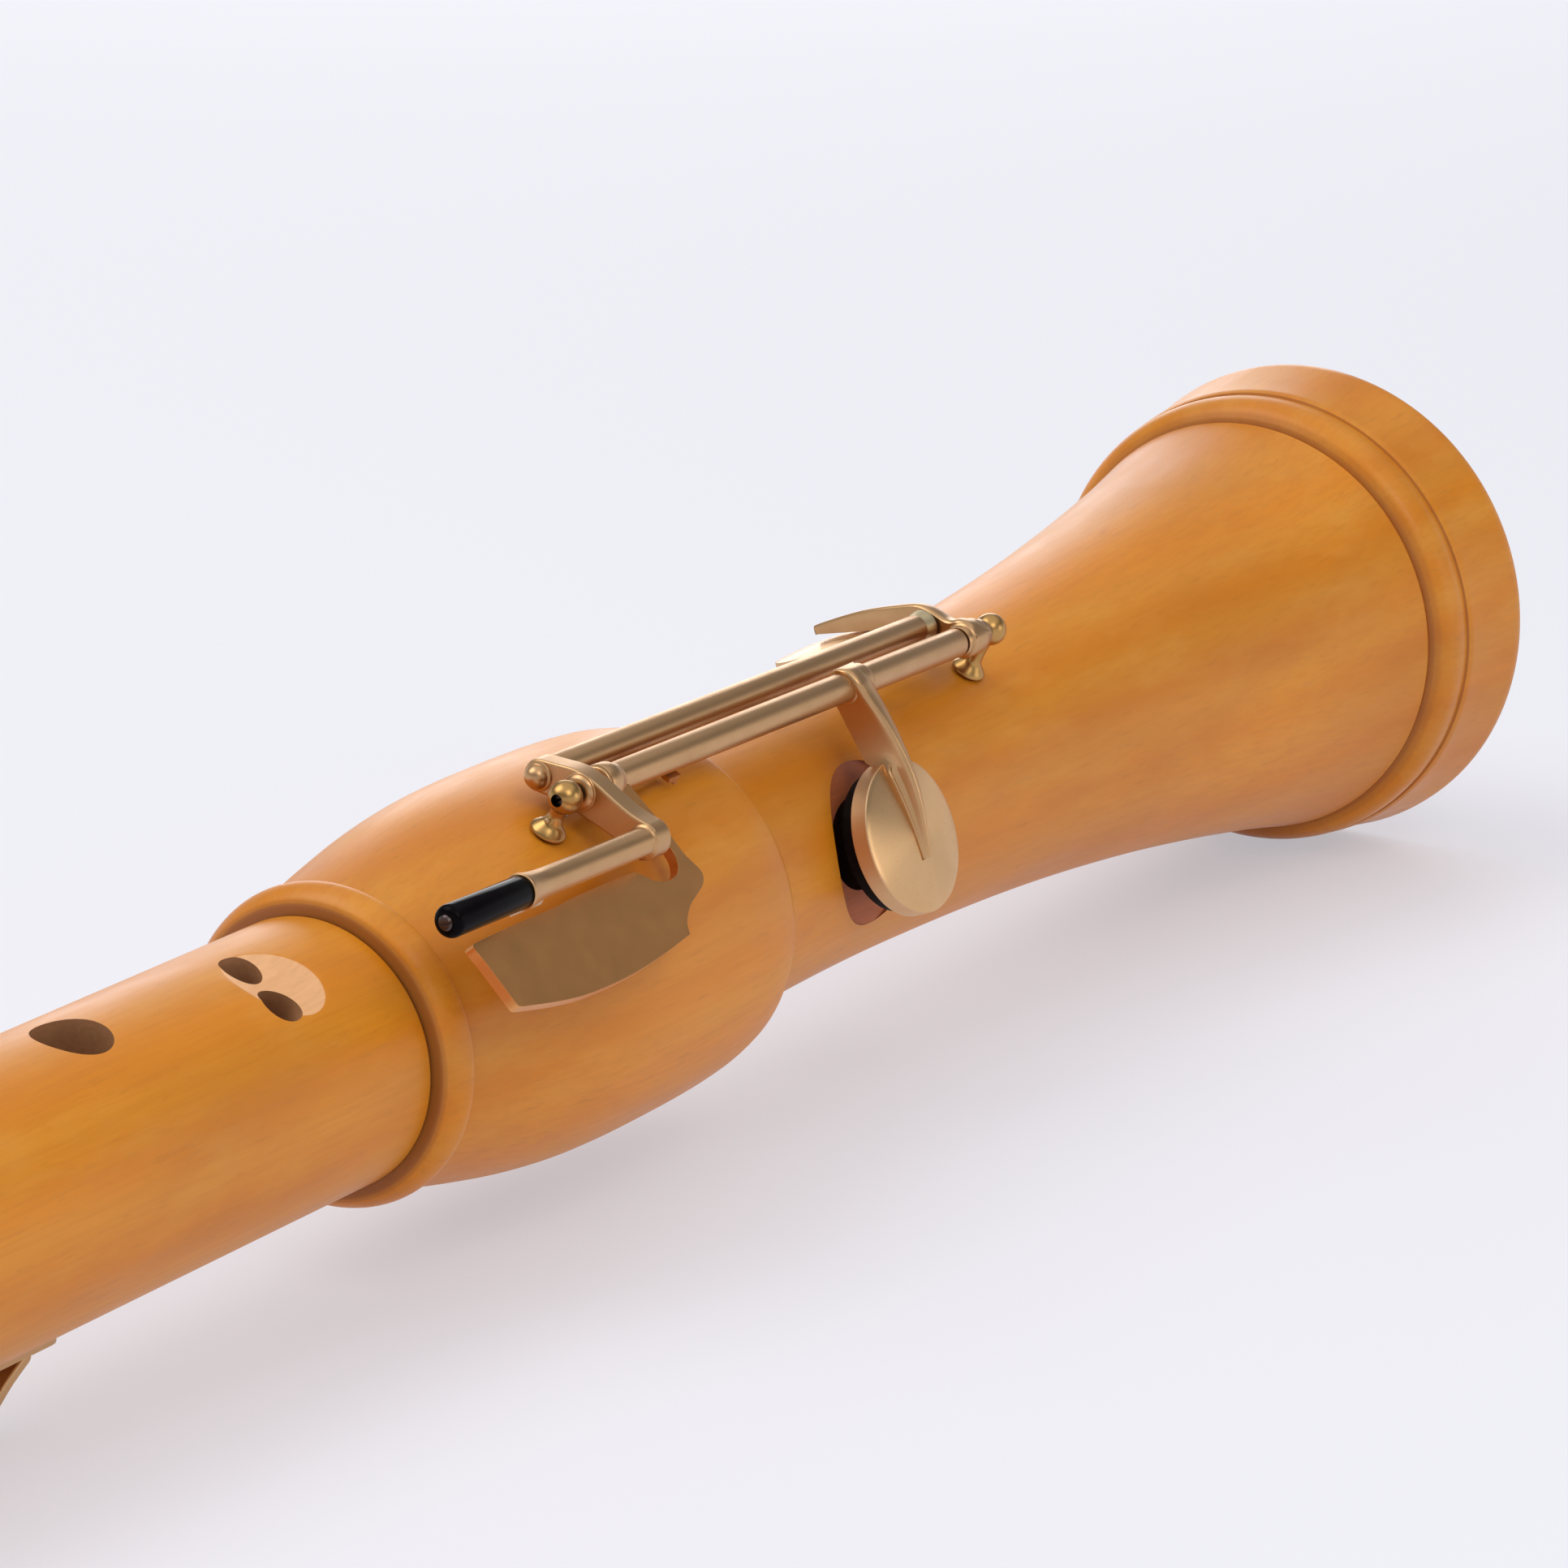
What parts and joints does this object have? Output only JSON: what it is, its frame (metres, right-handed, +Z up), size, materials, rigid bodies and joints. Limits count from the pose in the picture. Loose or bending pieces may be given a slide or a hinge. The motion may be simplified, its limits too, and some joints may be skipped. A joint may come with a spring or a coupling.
{
  "type": "tenor recorder",
  "caption": "Turned wooden tenor recorder in joints, with a flared bell and sprung metal touch-plate and roller keys on the foot.",
  "frame": {"origin": "centre of the bounding box's bottom face, on the surface that the instrument lies on", "axes": "+X along the length towards the bell, +Z up, finger holes on top and the touch plate on the -Y side. The bore rises 1.1 degrees towards the bell, because the instrument lies on its bell rim and on the bulge of its head joint"},
  "size_m": [0.695, 0.0676, 0.0679],
  "materials": {
    "wood": "satin",
    "raw_wood": "matte",
    "cork": "matte",
    "brass": "satin",
    "steel": "satin",
    "black": "gloss",
    "pad": "matte",
    "felt": "matte"
  },
  "bodies": {
    "middle": {"middle_joint": "wood", "upper_tenon_cork": "cork", "lower_tenon_cork": "cork", "thumb_rest": "brass", "thumb_rest_screw_upper": "steel", "thumb_rest_screw_lower": "steel"},
    "head": {"head_joint": "wood", "windway_block": "raw_wood"},
    "foot": {"foot_joint": "wood", "front_post": "brass", "rear_post": "brass", "hinge_rod": "steel", "plate_key_spring": "steel", "roller_key_spring": "steel"},
    "plate_key": {"hinge_tube": "brass", "touch_plate": "brass", "near_pad_arm": "brass", "near_pad_cup": "brass", "near_pad": "pad", "plate_key_spring_hook": "brass"},
    "roller_key": {"roller_lever": "brass", "bridge_rod": "brass", "bridge_cap": "brass", "far_pad_arm": "brass", "far_pad_cup": "brass", "far_pad": "pad", "roller_key_spring_hook": "brass", "roller_carrier": "brass", "stop_bumper": "felt", "roller_screw": "steel"},
    "roller": {"roller": "black"}
  },
  "joints": [
    {"name": "head_slide", "type": "slide", "parent": "middle", "child": "head", "axis": [-0.9998, 0, -0.0197], "range_m": [0, 0.01]},
    {"name": "foot_swivel", "type": "hinge", "parent": "middle", "child": "foot", "pos_m": [0.09971, 0, 0.02921], "axis": [0.9998, 0, 0.0197], "range_deg": [-20, 20]},
    {"name": "plate_key_hinge", "type": "hinge", "parent": "foot", "child": "plate_key", "pos_m": [0.13111, -0.01387, 0.05485], "axis": [0.9998, 0.0157, -0.0086], "range_deg": [0, 9.5], "stiffness_Nm_per_rad": 0.02, "springref_deg": -34.38},
    {"name": "roller_key_hinge", "type": "hinge", "parent": "foot", "child": "roller_key", "pos_m": [0.13111, -0.01387, 0.05485], "axis": [0.9998, 0.0157, -0.0086], "range_deg": [0, 8], "stiffness_Nm_per_rad": 0.03, "springref_deg": -40.11},
    {"name": "roller_spin", "type": "hinge", "parent": "roller_key", "child": "roller", "pos_m": [0.13122, -0.02312, 0.05029], "axis": [0.9998, 0.0157, -0.0086], "continuous": true}
  ]
}
